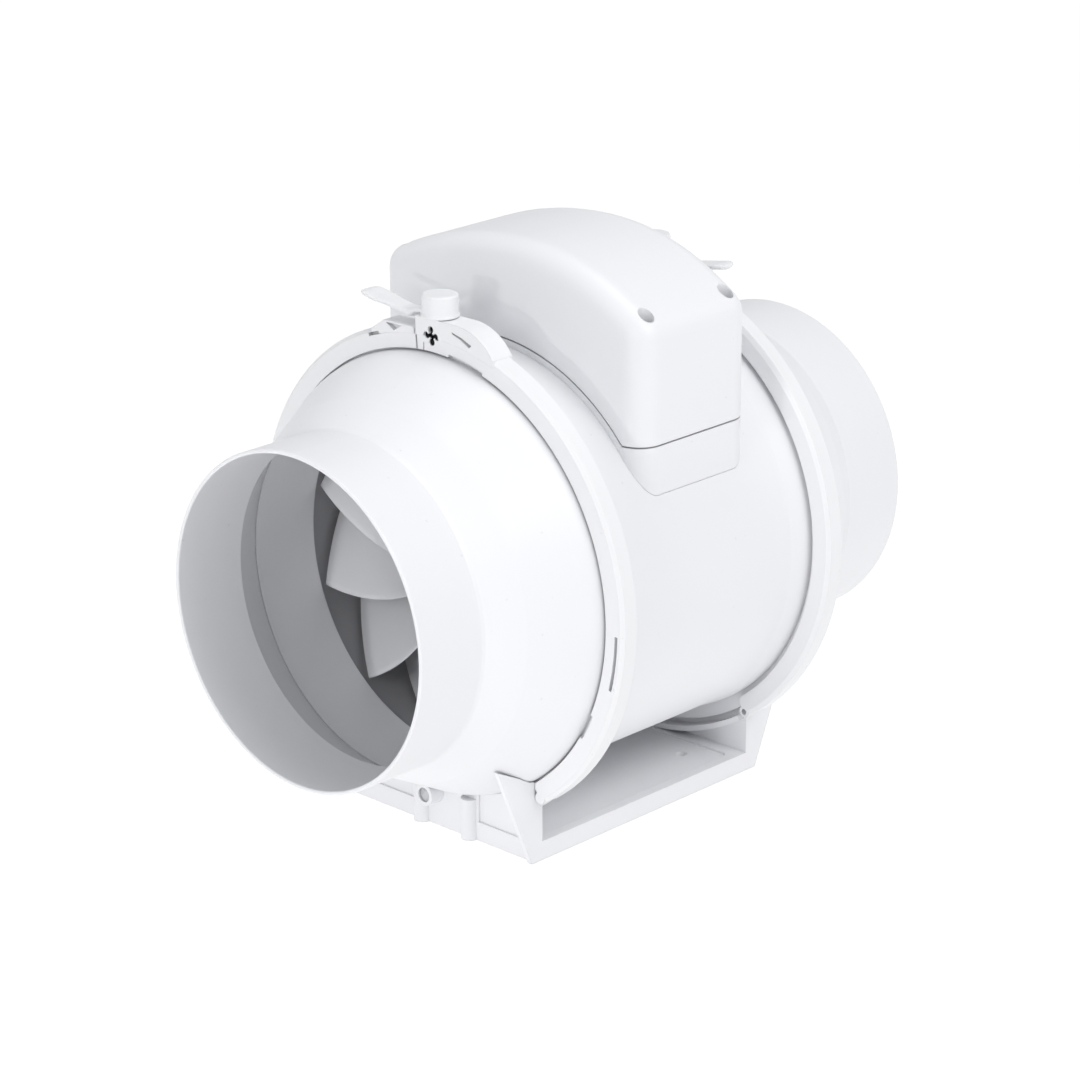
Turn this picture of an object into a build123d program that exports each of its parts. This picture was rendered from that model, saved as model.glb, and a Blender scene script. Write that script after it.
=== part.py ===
from build123d import *
from math import cos, sin, radians, sqrt
import os

os.makedirs("parts", exist_ok=True)

# Inline mixed-flow duct fan, 150 mm duct size. Millimetres, +Z up.
# Duct axis runs along Y, air enters at -Y. Origin: centre of the bracket's bottom face.

# Main sizes
axis_h = 117.0          # duct axis above the mounting face
spigot_r = 74.0         # outside of both spigots
spigot_bore = 72.2
half_len = 153.5        # duct axis, centre to spigot rim
spigot_in = 118.0       # where each spigot starts
body_r = 95.5
body_bore = 93.0
flange_r = 103.0
joint_y = 66.0          # parting plane between the body and each cap
gasket_t = 0.6

# Clamp rings
clamp_y0, clamp_y1 = 61.6, 71.8
clamp_mid = 66.7
clamp_r = 108.5
clamp_lip_r = 99.1
clamp_bore = 104.2
pivot_x, pivot_r = 61.7, 105.8
pivot_z = axis_h - sqrt(pivot_r ** 2 - pivot_x ** 2)
pin_r, pin_y = 1.3, 70.4  # the pins end inside the outer cheek

# Bracket
brk_x, brk_y = 58.8, 71.3
brk_t = 2.5
deck_z = 8.8
bolt_dx, bolt_dy, bolt_r = 74.0, 95.0, 2.6
cap_screw_x, cap_screw_r = -1.5, 101.0

# Terminal box
box_x0, box_x1, box_y = -69.0, 85.0, 35.0
crest_x, crest_z = 10.0, 259.0      # top of the cover
arch_left, arch_right = 165.0, 120.0
box_corner = 11.0
seam_r = 98.4
seam_z = axis_h + 65.0
box_t = 2.5
seam_gap = 0.7
crown_r = 10.0
lid_screws = [(78.0, 25.0), (78.0, -25.0), (-60.0, 25.0), (-60.0, -25.0)]
gland_y, gland_z = 8.0, axis_h + 90.0

# Impeller and motor
n_blades = 11
tip_front, tip_rear = 81.8, 90.0
blade_y0, blade_y1 = -63.0, -20.0
shaft_r = 4.0
bearing_r, bearing_w = 11.0, 7.0
stator_r, air_gap_r = 45.0, 27.4

fan_axis = Axis((0, 0, axis_h), (0, 1, 0))


def radial_plane(angle):
    """Sketch plane through the duct axis: local x runs along +Y, local y is the radius."""
    a = radians(angle)
    return Plane(origin=(0, 0, axis_h), x_dir=(0, 1, 0), z_dir=(sin(a), 0, -cos(a)))


def turned(points, start=90, arc=360):
    """Solid of (y, radius) points turned clockwise from an angle, seen from the intake."""
    with BuildPart() as ring:
        with BuildSketch(radial_plane(start)):
            with BuildLine():
                Polyline(*points, close=True)
            make_face()
        revolve(axis=fan_axis, revolution_arc=arc)
    return ring.part


def mirrored(part):
    return mirror(part, about=Plane.XZ)


def slab(points, y0, y1):
    """Solid of (x, z above the duct axis) points between two stations along the duct."""
    with BuildPart() as block:
        with BuildSketch(Plane(origin=(0, y0, axis_h), x_dir=(1, 0, 0), z_dir=(0, -1, 0))):
            with BuildLine():
                Polyline(*points, close=True)
            make_face()
        extrude(amount=-(y1 - y0))
    return block.part


def rod(radius, y0, y1, x=0.0, z=axis_h):
    """Round bar along the duct axis direction."""
    with BuildPart() as bar:
        with BuildSketch(Plane(origin=(x, y0, z), x_dir=(1, 0, 0), z_dir=(0, -1, 0))):
            Circle(radius)
        extrude(amount=-(y1 - y0))
    return bar.part


def save(part, label):
    part.label = label
    export_step(part, f"parts/{label}.step")


# ---------------------------------------------------------------- end caps
cap_inner = [(-69.0, flange_r), (-joint_y - gasket_t, flange_r), (-joint_y - gasket_t, 95.4),
             (-72.0, 95.4), (-79.0, 93.2), (-88.0, 88.9), (-101.6, 81.7), (-spigot_in, 71.9),
             (-half_len, spigot_bore), (-half_len, spigot_r)]

with BuildPart() as intake_cap:
    # spigot, cone and rounded shoulder outside, following the same line inside
    with BuildSketch(radial_plane(90)):
        with BuildLine():
            Polyline((-half_len, spigot_r), (-spigot_in, spigot_r), (-102.4, 83.9), (-80.0, 95.25))
            ThreePointArc((-80.0, 95.25), (-75.7, 97.25), (-71.0, 98.1))
            Polyline((-71.0, 98.1), (-69.0, 98.1), *cap_inner)
        make_face()
    revolve(axis=fan_axis)
    rims = intake_cap.edges().filter_by(GeomType.CIRCLE).group_by(Axis.Y)[0]
    fillet(rims, 0.7)
    shoulder = (intake_cap.edges().filter_by(GeomType.CIRCLE)
                .filter_by(lambda e: abs(e.radius - spigot_r) < 0.05)
                .filter_by(lambda e: abs(e.center().Y + spigot_in) < 0.05))
    fillet(shoulder, 4.0)
    # pilot hole of the bracket screw in the flange
    with Locations(Location((cap_screw_x, -joint_y, axis_h - cap_screw_r), (90, 0, 0))):
        Cylinder(1.8, 12.0, mode=Mode.SUBTRACT)
save(intake_cap.part, "intake_cap")

outlet_cap_part = intake_cap.part.rotate(Axis.Z, 180)
save(outlet_cap_part, "outlet_cap")

# ---------------------------------------------------------------- motor block shell
flange_y = 63.9
half_shell = [(-flange_y, 96.9), (-60.5, 96.7), (-56.0, 96.2), (-51.0, body_r)]
shell_outer = half_shell + [(-y, r) for y, r in reversed(half_shell)]
with BuildPart() as barrel:
    add(turned(shell_outer + [(flange_y, 93.4), (60.0, body_bore), (-60.0, body_bore),
                              (-flange_y, 93.4)]))
    # lead hole up into the terminal box
    with Locations((44.0, 0, axis_h + 80.0)):
        Cylinder(5.0, 60.0, mode=Mode.SUBTRACT)
front_flange = turned([(-joint_y, 93.6), (-joint_y, flange_r), (-flange_y, flange_r),
                       (-flange_y, 93.4)])
# the flanges meet the barrel face to face
motor_block = Compound(children=[barrel.part, front_flange, mirrored(front_flange)])
save(motor_block, "motor_block")

gasket_ring = [(-joint_y - gasket_t, 96.0), (-joint_y - gasket_t, 102.4), (-joint_y, 102.4),
               (-joint_y, 96.0)]
intake_gasket = turned(gasket_ring)
save(intake_gasket, "intake_gasket")
save(mirrored(intake_gasket), "outlet_gasket")

# ---------------------------------------------------------------- inlet ring and shroud
inlet_ring = turned([(-99.6, 82.0), (-99.6, 82.7), (-98.0, 83.6), (-67.2, 84.4), (-67.2, 93.2),
                     (-65.4, 93.2), (-65.4, 84.4), (-64.8, 84.2), (-64.8, 82.6)])
save(inlet_ring, "inlet_ring")

shroud = turned([(-64.6, 84.0), (-45.0, 87.2), (-25.0, 90.8), (-14.0, 91.6), (-14.0, 92.9),
                 (-24.0, 92.9), (-45.0, 88.8), (-62.8, 85.9), (-62.8, 92.9), (-64.6, 92.9)])
save(shroud, "impeller_shroud")


# ---------------------------------------------------------------- impeller
def hub_r(y):
    """Outside radius of the conical hub."""
    return 34.0 + (y + 58.0) * 26.0 / 44.0


def tip_r(y):
    return tip_front + (y - blade_y0) * (tip_rear - tip_front) / (blade_y1 - blade_y0)


hub_solid = turned([(-64.0, 0.0), (-64.0, 34.2), (-58.0, 34.0), (-14.0, 60.0), (-14.0, 0.0)])
with BuildPart() as impeller_hub:
    add(turned([(-58.0, shaft_r), (-58.0, 34.0), (-14.0, 60.0), (-14.0, 57.4), (-55.4, 32.4),
                (-55.4, 9.5), (-34.0, 8.5), (-34.0, shaft_r)]))
save(impeller_hub.part, "impeller_hub")

blade_t = 1.7
lean = 16.0             # hub end trails the tip by this angle at the leading edge
twist_rate = 1.15       # degrees of wrap per millimetre along the axis


def blade_section(y, turn):
    """Curved strip across the flow, hub to tip, on the plane at station y."""
    inner, outer = hub_r(y) - 1.5, tip_r(y)
    rows = [inner + (outer - inner) * k / 4 for k in range(5)]
    mid = [(r, turn + lean * (83.0 - r) / 46.0 - twist_rate * (y - blade_y0)) for r in rows]
    one, two = [], []
    for r, a in mid:
        half = degrees_of(blade_t / 2, r)
        one.append((r * cos(radians(a + half)), r * sin(radians(a + half))))
        two.append((r * cos(radians(a - half)), r * sin(radians(a - half))))
    with BuildSketch(Plane(origin=(0, y, axis_h), x_dir=(1, 0, 0), z_dir=(0, -1, 0))) as strip:
        with BuildLine():
            Spline(*one)
            Line(one[-1], two[-1])
            Spline(*reversed(two))
            Line(two[0], one[0])
        make_face()
    return strip.sketch


def degrees_of(arc, r):
    return arc / r * 57.29578


stations = [blade_y0 + (blade_y1 - blade_y0) * k / 5 for k in range(6)]
first_blade = 198.6
with BuildPart() as one_blade:
    loft([blade_section(y, first_blade).face() for y in stations])
    add(hub_solid, mode=Mode.SUBTRACT)
with BuildPart() as impeller_blades:
    for k in range(n_blades):
        add(one_blade.part.rotate(fan_axis, 360.0 / n_blades * k))
save(impeller_blades.part, "impeller_blades")

with BuildPart() as spinner:
    add(turned([(-58.0, 30.6), (-58.0, 33.8), (-60.5, 31.8), (-63.0, 28.0), (-65.4, 21.0),
                (-66.6, 12.0), (-66.9, 0.0), (-65.2, 0.0), (-64.8, 12.0), (-63.4, 20.4),
                (-61.2, 26.6), (-59.4, 29.4)]))
save(spinner.part, "spinner")

with BuildPart() as impeller_nut:
    with BuildSketch(Plane(origin=(0, -58.0, axis_h), x_dir=(1, 0, 0), z_dir=(0, -1, 0))):
        RegularPolygon(7.5, 6)
        Circle(shaft_r, mode=Mode.SUBTRACT)
    extrude(amount=5.0)
save(impeller_nut.part, "impeller_nut")

# ---------------------------------------------------------------- motor
with BuildPart() as motor_shaft:
    add(turned([(-63.6, 0.0), (-63.6, 3.4), (-63.0, shaft_r), (50.4, shaft_r), (51.0, 3.4),
                (51.0, 0.0)]))
save(motor_shaft.part, "motor_shaft")

rotor_core = turned([(6.0, shaft_r), (6.0, 26.9), (36.0, 26.9), (36.0, shaft_r)])
save(rotor_core, "rotor_core")

with BuildPart() as stator_core:
    add(turned([(6.0, air_gap_r), (6.0, stator_r), (36.0, stator_r), (36.0, air_gap_r)]))
    # winding slots
    for k in range(12):
        add(rod(2.6, 6.0, 36.0, x=34.5).rotate(fan_axis, 30.0 * k), mode=Mode.SUBTRACT)
save(stator_core.part, "stator_core")

with BuildPart() as stator_windings:
    add(turned([(0.4, 30.0), (0.4, 40.0), (2.0, 42.4), (6.0, 42.4), (6.0, 28.6), (2.0, 28.6)]))
    add(turned([(36.0, 28.6), (36.0, 42.4), (40.0, 42.4), (41.6, 40.0), (41.6, 30.0),
                (40.0, 28.6)]))
    for k in range(12):
        add(rod(2.5, 6.0, 36.0, x=34.5).rotate(fan_axis, 30.0 * k))
save(stator_windings.part, "stator_windings")

with BuildPart() as motor_can:
    add(turned([(-4.0, stator_r), (-4.0, 47.2), (46.0, 47.2), (46.0, stator_r)]))
save(motor_can.part, "motor_can")


def end_shield(y_in, y_out, side):
    """Cover of the motor with a bearing seat turned into the motor."""
    b0 = y_in + side * 0.4
    b1 = b0 - side * (bearing_w + 0.4)
    return turned([(y_in, bearing_r + 2.5), (y_in, 55.6), (y_out, 55.6), (y_out, shaft_r + 1.5),
                   (y_out - side * 1.0, shaft_r + 1.5), (b0, bearing_r), (b1, bearing_r),
                   (b1, bearing_r + 2.5)])


screw_spots = [(52.0 * cos(radians(45 + 90 * k)), 52.0 * sin(radians(45 + 90 * k)))
               for k in range(4)]
with BuildPart() as motor_front_shield:
    add(end_shield(-4.0, -8.0, -1))
    with BuildSketch(Plane(origin=(0, -20.0, axis_h), x_dir=(1, 0, 0), z_dir=(0, -1, 0))):
        with Locations(*screw_spots):
            Circle(1.65)
    extrude(amount=-40.0, mode=Mode.SUBTRACT)
save(motor_front_shield.part, "motor_front_shield")
motor_rear_shield = end_shield(46.0, 50.0, 1)
save(motor_rear_shield, "motor_rear_shield")

front_bearing = turned([(-4.4, shaft_r + 0.05), (-4.4, bearing_r), (2.6, bearing_r),
                        (2.6, shaft_r + 0.05)])
save(front_bearing, "front_bearing")
rear_bearing = turned([(39.4, shaft_r + 0.05), (39.4, bearing_r), (46.4, bearing_r),
                       (46.4, shaft_r + 0.05)])
save(rear_bearing, "rear_bearing")

# vane carrier: sleeve round the motor, closed tapered tail
n_vanes = 7
vane_t = 1.8
carrier_outer = [(-10.0, 59.6), (40.0, 59.0), (56.0, 55.0), (68.0, 44.0), (74.0, 30.0)]
with BuildPart() as vane_carrier:
    add(turned([(-10.0, 55.7)] + carrier_outer + [(74.0, 0.0), (72.4, 0.0), (72.4, 28.6),
                (66.0, 41.0), (54.5, 52.5), (50.2, 53.2), (50.2, 55.7)]))
    # lugs for the motor screws
    with BuildSketch(Plane(origin=(0, -4.0, axis_h), x_dir=(1, 0, 0), z_dir=(0, -1, 0))):
        with Locations(*screw_spots):
            Circle(4.2)
            Circle(1.6, mode=Mode.SUBTRACT)
    extrude(amount=-14.0)
save(vane_carrier.part, "vane_carrier")

# straight vanes from the carrier out to the shell, ending flush on the carrier
carrier_core = turned([(-20.0, 0.0), (-20.0, 59.6)] + carrier_outer + [(74.0, 0.0)])
with BuildPart() as guide_vanes:
    for k in range(n_vanes):
        with BuildSketch(radial_plane(90.0 + 360.0 / n_vanes * k)) as vane:
            with BuildLine():
                Polyline((-6.0, 52.0), (-6.0, 92.9), (44.0, 92.9), (56.0, 52.0), close=True)
            make_face()
        extrude(amount=vane_t / 2, both=True)
    add(carrier_core, mode=Mode.SUBTRACT)
save(guide_vanes.part, "guide_vanes")

with BuildPart() as motor_screws:
    for y, radius, length in [(-8.0, 1.55, 16.0), (-9.8, 3.1, 1.8)]:
        with BuildSketch(Plane(origin=(0, y, axis_h), x_dir=(1, 0, 0), z_dir=(0, -1, 0))):
            with Locations(*screw_spots):
                Circle(radius)
        extrude(amount=-length)
save(motor_screws.part, "motor_screws")

# ---------------------------------------------------------------- clamp rings
channel = [(-clamp_y0, clamp_lip_r), (-clamp_y0, 106.4), (-62.8, clamp_r), (-70.0, clamp_r),
           (-clamp_y1, 106.9), (-clamp_y1, clamp_lip_r), (-69.3, clamp_lip_r),
           (-69.3, clamp_bore), (-63.6, clamp_bore), (-63.6, clamp_lip_r)]
pivot_deg = -Vector(pivot_x, pivot_z - axis_h).get_angle(Vector(1, 0))
split_deg = 94.9        # the ring parts here, left of the top
pivot_end = rod(2.6, -clamp_y1, -clamp_y0, pivot_x, pivot_z)
pin_hole = rod(pin_r + 0.05, -pin_y - 0.2, -55.0, pivot_x, pivot_z)
tongue_gap = rod(3.6, -68.9, -64.5, pivot_x, pivot_z)
below_wall = Pos(pivot_x - 22.7, -clamp_mid, pivot_z) * Box(40.2, 20.0, 60.0)

pad_clear = rod(105.6, -80.0, -50.0)
# four-lobed opening in the outer cheek, over the end of the lock's bolt
lock_hole_z = axis_h + 106.1
lock_plug_r, lock_plug_y = 4.6, 71.2
lobe_r, lobe_at = 1.55, 2.75
pad_top = 113.6
lock_z = axis_h + pad_top + 0.2
with BuildPart() as right_pad:
    with BuildSketch(Plane(origin=(0, -72.6, axis_h), x_dir=(1, 0, 0), z_dir=(0, -1, 0))):
        with BuildLine():
            Polyline((36.0, 102.5), (36.0, 98.0), (24.0, 98.0), (-9.0, 104.5), (-9.0, pad_top),
                     (15.0, pad_top))
            ThreePointArc((15.0, pad_top), (26.9, 110.65), (36.0, 102.5))
        make_face()
    extrude(amount=-11.8)
    add(pad_clear, mode=Mode.SUBTRACT)
with BuildPart() as left_pad:
    add(slab([(-10.0, 104.0), (-10.0, 107.4), (-10.9, 108.2), (-28.0, 107.8), (-35.5, 102.5),
              (-35.5, 98.0), (-30.0, 98.0)], -72.6, -60.8))
    add(pad_clear, mode=Mode.SUBTRACT)
# gap line that widens between the lip and the cap
wide_lip = [(-73.0, 98.0), (-73.0, 100.4), (-69.2, 100.4), (-69.2, 98.0)]

with BuildPart() as front_right_arm:
    add(turned(channel, split_deg, split_deg - pivot_deg))
    add(below_wall, mode=Mode.SUBTRACT)
    add(pivot_end)
    # raised pad under the lock
    add(right_pad.part)
    with Locations((0, -clamp_mid, axis_h + pad_top)):
        Cylinder(3.0, 5.6, mode=Mode.SUBTRACT)
    # lock bolt hole, tongue slot and pin hole
    add(rod(lock_plug_r + 0.05, -lock_plug_y, -69.0, 0.0, lock_hole_z), mode=Mode.SUBTRACT)
    for dx, dz in [(0, 0), (lobe_at, 0), (-lobe_at, 0), (0, lobe_at), (0, -lobe_at)]:
        add(rod(lobe_r, -74.0, -lock_plug_y, dx, lock_hole_z + dz), mode=Mode.SUBTRACT)
    add(tongue_gap, mode=Mode.SUBTRACT)
    add(pin_hole, mode=Mode.SUBTRACT)
    # slots in the outer cheek
    add(turned([(-73.0, 104.1), (-73.0, 105.6), (-69.3, 105.6), (-69.3, 104.1)], -0.7, 13.6),
        mode=Mode.SUBTRACT)
    for start, arc in [(-23.5, 7.5), (84.5, 11.5)]:
        add(turned(wide_lip, start, arc), mode=Mode.SUBTRACT)
    add(slab([(12.5, 110.2), (18.0, 108.9), (23.8, 106.6), (22.4, 105.4), (17.6, 107.9),
              (12.5, 109.6)], -73.0, -70.6), mode=Mode.SUBTRACT)
    add(slab([(-5.2, 98.0), (-5.2, 102.4), (-4.6, 102.4), (-4.6, 98.0)], -73.0, -71.2),
        mode=Mode.SUBTRACT)

left_wall, left_end, left_gap, left_hole = [
    mirror(part, about=Plane.YZ) for part in (below_wall, pivot_end, tongue_gap, pin_hole)]
with BuildPart() as front_left_arm:
    add(turned(channel, 180.0 - pivot_deg, 180.0 - pivot_deg - split_deg - 0.5))
    add(left_wall, mode=Mode.SUBTRACT)
    add(left_end)
    add(left_pad.part)
    add(left_gap, mode=Mode.SUBTRACT)
    add(left_hole, mode=Mode.SUBTRACT)
    # pocket in the outer cheek beside the split
    add(slab([(-26.6, 107.0), (-17.4, 107.2), (-22.0, 104.2)], -73.0, -70.4),
        mode=Mode.SUBTRACT)
    add(turned([(-73.0, 105.4), (-73.0, 106.8), (-69.3, 106.8), (-69.3, 105.4)], 111.0, 4.0),
        mode=Mode.SUBTRACT)
    add(turned([(-73.0, 105.0), (-73.0, 106.4), (-69.3, 106.4), (-69.3, 105.0)], 193.0, 12.5),
        mode=Mode.SUBTRACT)

save(front_right_arm.part, "front_right_arm")
save(front_left_arm.part, "front_left_arm")
# the rear clamp is the front one turned round, so its lock sits on the left arm
save(front_right_arm.part.rotate(Axis.Z, 180), "rear_left_arm")
save(front_left_arm.part.rotate(Axis.Z, 180), "rear_right_arm")

with BuildPart() as front_hinge_pins:
    add(rod(pin_r, -pin_y, -61.8, pivot_x, pivot_z))
    add(rod(pin_r, -pin_y, -61.8, -pivot_x, pivot_z))
save(front_hinge_pins.part, "front_hinge_pins")
save(mirrored(front_hinge_pins.part), "rear_hinge_pins")

# thumb wing: its outline from above, and from the side as it dips and rises to the tip
wing_plan = [(0, 4.8), (-14.0, 4.6), (-24.0, 4.7), (-32.0, 6.0), (-38.0, 6.5), (-42.4, 5.0),
             (-44.6, 1.8)]
wing_side = [(0, 113.8), (-12.0, 113.8), (-14.0, 110.2), (-20.0, 111.3), (-28.0, 112.8),
             (-36.0, 114.0), (-42.0, 114.6), (-44.5, 114.8), (-44.8, 116.2), (-43.0, 117.7),
             (-40.0, 117.9), (-36.0, 116.9), (-28.0, 115.4), (-20.0, 114.3), (-16.0, 114.4),
             (-12.0, 116.0), (0, 116.0)]
with BuildPart() as wing:
    with BuildSketch(Plane.XY.offset(lock_z - 6.0)):
        with BuildLine():
            Polyline(*[(x, -clamp_mid - w) for x, w in wing_plan],
                     *[(x, -clamp_mid + w) for x, w in reversed(wing_plan)], close=True)
        make_face()
    extrude(amount=14.0)
    add(slab(wing_side, -clamp_mid - 8.0, -clamp_mid + 8.0), mode=Mode.INTERSECT)
with BuildPart() as front_lock_lever:
    with Locations((0, -clamp_mid, lock_z + 0.6)):
        Cylinder(8.4, 1.2)
    with Locations((0, -clamp_mid, lock_z + 4.9)):
        Cylinder(7.8, 9.8)
    fillet(front_lock_lever.edges().sort_by(Axis.Z)[-1], 1.0)
    add(wing.part)
    # spigot in the pad
    with Locations((0, -clamp_mid, lock_z - 1.2)):
        Cylinder(2.93, 2.4)
save(front_lock_lever.part, "front_lock_lever")
save(front_lock_lever.part.rotate(Axis.Z, 180), "rear_lock_lever")

with BuildPart() as front_lock_screw:
    add(rod(lock_plug_r, -lock_plug_y, -69.4, 0.0, lock_hole_z))
    with Locations((0, -lock_plug_y, lock_hole_z)):
        Box(1.1, 1.2, 4.6, mode=Mode.SUBTRACT)
        Box(4.6, 1.2, 1.1, mode=Mode.SUBTRACT)
save(front_lock_screw.part, "front_lock_screw")
save(front_lock_screw.part.rotate(Axis.Z, 180), "rear_lock_screw")

# ---------------------------------------------------------------- mounting bracket
low = -axis_h           # bottom face, measured from the duct axis
deck = low + deck_z


def gusset(x0, x1):
    """Side rib leaning out from the end wall under the cap."""
    with BuildPart() as rib:
        with BuildSketch(Plane(origin=(x0, 0, axis_h), x_dir=(0, 1, 0), z_dir=(1, 0, 0))):
            with BuildLine():
                Polyline((-69.4, low), (-73.4, low), (-94.0, -68.4), (-71.4, -79.6),
                         (-69.4, -80.0), close=True)
            make_face()
        extrude(amount=x1 - x0)
    return rib.part


wall_in = 66.9          # inner face of each end wall
cradle_r = 105.9


def end_wall():
    """End wall with its cradle, gussets, pillars and screw boss, intake end."""
    sheet = [(-brk_x, low), (brk_x, low), (brk_x, -78.9), (-brk_x, -78.9)]
    with BuildPart() as wall:
        add(slab(sheet, -brk_y, -wall_in))
        # cradle band that the clamp ring's lower arc follows
        add(turned([(-wall_in, cradle_r), (-clamp_y0, cradle_r), (-clamp_y0, cradle_r + 2.6),
                    (-wall_in, cradle_r + 2.6)], -57.0, 66.0))
        # half-round pillars and the boss of the cap screw
        with Locations((-9.5, -brk_y, axis_h - 107.5), (19.5, -brk_y, axis_h - 107.5)):
            Cylinder(3.9, 19.0)
        add(rod(5.2, -78.4, -brk_y, cap_screw_x, axis_h - cap_screw_r))
        for s in (-1, 1):
            add(gusset(*sorted((s * brk_x, s * (brk_x - 2.6)))))
        add(rod(flange_r + 0.1, -69.3, -63.5), mode=Mode.SUBTRACT)
        # the cap's shoulder rests here
        add(turned([(-97.0, 50.0), (-97.0, 87.0), (-88.0, 91.7), (-79.0, 96.1), (-74.5, 98.1),
                    (-71.0, 98.5), (-60.0, 98.5), (-60.0, 50.0)]), mode=Mode.SUBTRACT)
        add(rod(1.8, -79.0, -66.0, cap_screw_x, axis_h - cap_screw_r), mode=Mode.SUBTRACT)
        add(rod(3.3, -80.0, -75.4, cap_screw_x, axis_h - cap_screw_r), mode=Mode.SUBTRACT)
        # shallow panels in the outer face
        add(slab([(25.0, low + 5.0), (54.0, low + 5.0), (54.0, -80.0), (25.0, -88.0)],
                 -brk_y - 0.1, -brk_y + 0.9), mode=Mode.SUBTRACT)
        add(slab([(-54.0, low + 5.0), (-15.0, low + 5.0), (-15.0, -90.0), (-54.0, -80.0)],
                 -brk_y - 0.1, -brk_y + 0.9), mode=Mode.SUBTRACT)
    pivot_low = pivot_z - axis_h
    with BuildPart() as tongues:
        for s in (-1, 1):
            add(rod(2.5, -68.4, -65.0, s * pivot_x, pivot_z))
            add(slab([(s * 54.0, -94.0), (s * 58.8, -91.6), (s * (pivot_x + 1.6), pivot_low - 1.9),
                      (s * (pivot_x - 1.2), pivot_low + 2.0), (s * 56.0, -88.0)], -68.4, -65.0))
        add(rod(flange_r + 0.3, -70.0, -60.0), mode=Mode.SUBTRACT)
    with BuildPart() as both:
        add(wall.part)
        add(tongues.part)
        for s in (-1, 1):
            add(rod(pin_r, -71.65, -61.8, s * pivot_x, pivot_z), mode=Mode.SUBTRACT)
    return both.part


intake_end = end_wall()
with BuildPart() as bracket:
    with BuildSketch(Plane.XY):
        RectangleRounded(2 * brk_x, 2 * brk_y, 3.0)
    extrude(amount=deck_z)
    # hollow underneath, with centre ribs
    with BuildSketch(Plane.XY):
        RectangleRounded(2 * brk_x - 5.2, 2 * wall_in, 2.0)
        Rectangle(2 * brk_x, 4.0, mode=Mode.SUBTRACT)
        Rectangle(4.0, 2 * brk_y, mode=Mode.SUBTRACT)
        with GridLocations(bolt_dx, bolt_dy, 2, 2):
            Circle(6.5, mode=Mode.SUBTRACT)
    extrude(amount=deck_z - brk_t, mode=Mode.SUBTRACT)
    # lightening recess along the deck
    with BuildSketch(Plane.XY.offset(deck_z)):
        RectangleRounded(2 * brk_x - 10.0, 2 * 60.0, 3.0)
    extrude(amount=-0.9, mode=Mode.SUBTRACT)
    with GridLocations(bolt_dx, bolt_dy, 2, 2):
        Cylinder(bolt_r, 40.0, mode=Mode.SUBTRACT)
    add(intake_end)
    add(intake_end.rotate(Axis.Z, 180))
save(bracket.part, "bracket")

with BuildPart() as bracket_screws:
    for s in (-1, 1):
        x, z = -s * cap_screw_x, axis_h - cap_screw_r
        add(rod(1.75, *sorted((s * 66.8, s * 75.5)), x, z))
        add(rod(3.1, *sorted((s * 75.5, s * 77.6)), x, z))
save(bracket_screws.part, "bracket_screws")

# ---------------------------------------------------------------- terminal box
box_mid = (box_x0 + box_x1) / 2
box_len = box_x1 - box_x0


def arch_block(inset, floor):
    """Solid under the arched top, wider than the box: two arcs that meet at the crest."""
    left, right, reach = arch_left - inset, arch_right - inset, 100.0
    crest = crest_z - inset

    def top(radius, x):
        return crest - radius + sqrt(radius ** 2 - x ** 2)

    with BuildPart() as block:
        with BuildSketch(Plane(origin=(crest_x, -80.0, 0), x_dir=(1, 0, 0), z_dir=(0, -1, 0))):
            with BuildLine():
                ThreePointArc((-reach, top(left, reach)), (-reach / 2, top(left, reach / 2)),
                              (0, crest))
                ThreePointArc((0, crest), (reach / 2, top(right, reach / 2)),
                              (reach, top(right, reach)))
                Polyline((reach, top(right, reach)), (reach, floor), (-reach, floor),
                         (-reach, top(left, reach)))
            make_face()
        extrude(amount=-160.0)
    return block.part


with BuildPart() as core:
    with BuildSketch(Plane.XY.offset(axis_h + 59.0)):
        with Locations((box_mid, 0)):
            RectangleRounded(box_len - 2 * box_t, 2 * (box_y - box_t), box_corner - box_t)
    extrude(amount=90.0)
    add(arch_block(box_t, axis_h + 50.0), mode=Mode.INTERSECT)
    fillet(core.faces().sort_by(Axis.Z)[-1].edges(), crown_r - box_t)
    # screw towers stay solid
    for x, y in lid_screws:
        with Locations((x, y, axis_h + (70.1 if x > 0 else 80.1) + 40.0)):
            Cylinder(4.6, 80.0, mode=Mode.SUBTRACT)
cover_core = core.part

with BuildPart() as terminal_cover:
    with BuildSketch(Plane.XY.offset(axis_h + 60.0)):
        with Locations((box_mid, 0)):
            RectangleRounded(box_len, 2 * box_y, box_corner)
    extrude(amount=90.0)
    add(arch_block(0.0, axis_h + 50.0), mode=Mode.INTERSECT)
    fillet(terminal_cover.faces().sort_by(Axis.Z)[-1].edges(), crown_r)
    add(cover_core, mode=Mode.SUBTRACT)
    add(turned([(-60.0, 0.0), (-60.0, seam_r + seam_gap), (60.0, seam_r + seam_gap),
                (60.0, 0.0)]),
        mode=Mode.SUBTRACT)
    with Locations((box_mid, 0, seam_z + seam_gap - 20.0)):
        Box(400.0, 200.0, 40.0, mode=Mode.SUBTRACT)
    for x, y in lid_screws:
        low_z = axis_h + (70.0 if x > 0 else 80.0)
        with Locations((x, y, low_z + 50.0)):
            Cylinder(1.7, 140.0, mode=Mode.SUBTRACT)
        with Locations((x, y, axis_h + (108.0 if x > 0 else 114.0) + 20.0)):
            Cylinder(3.4, 40.0, mode=Mode.SUBTRACT)
    # gland hole in the left end
    with Locations(Location((box_x0, gland_y, gland_z), (0, 90, 0))):
        Cylinder(8.2, 20.0, mode=Mode.SUBTRACT)
save(terminal_cover.part, "terminal_cover")

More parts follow.
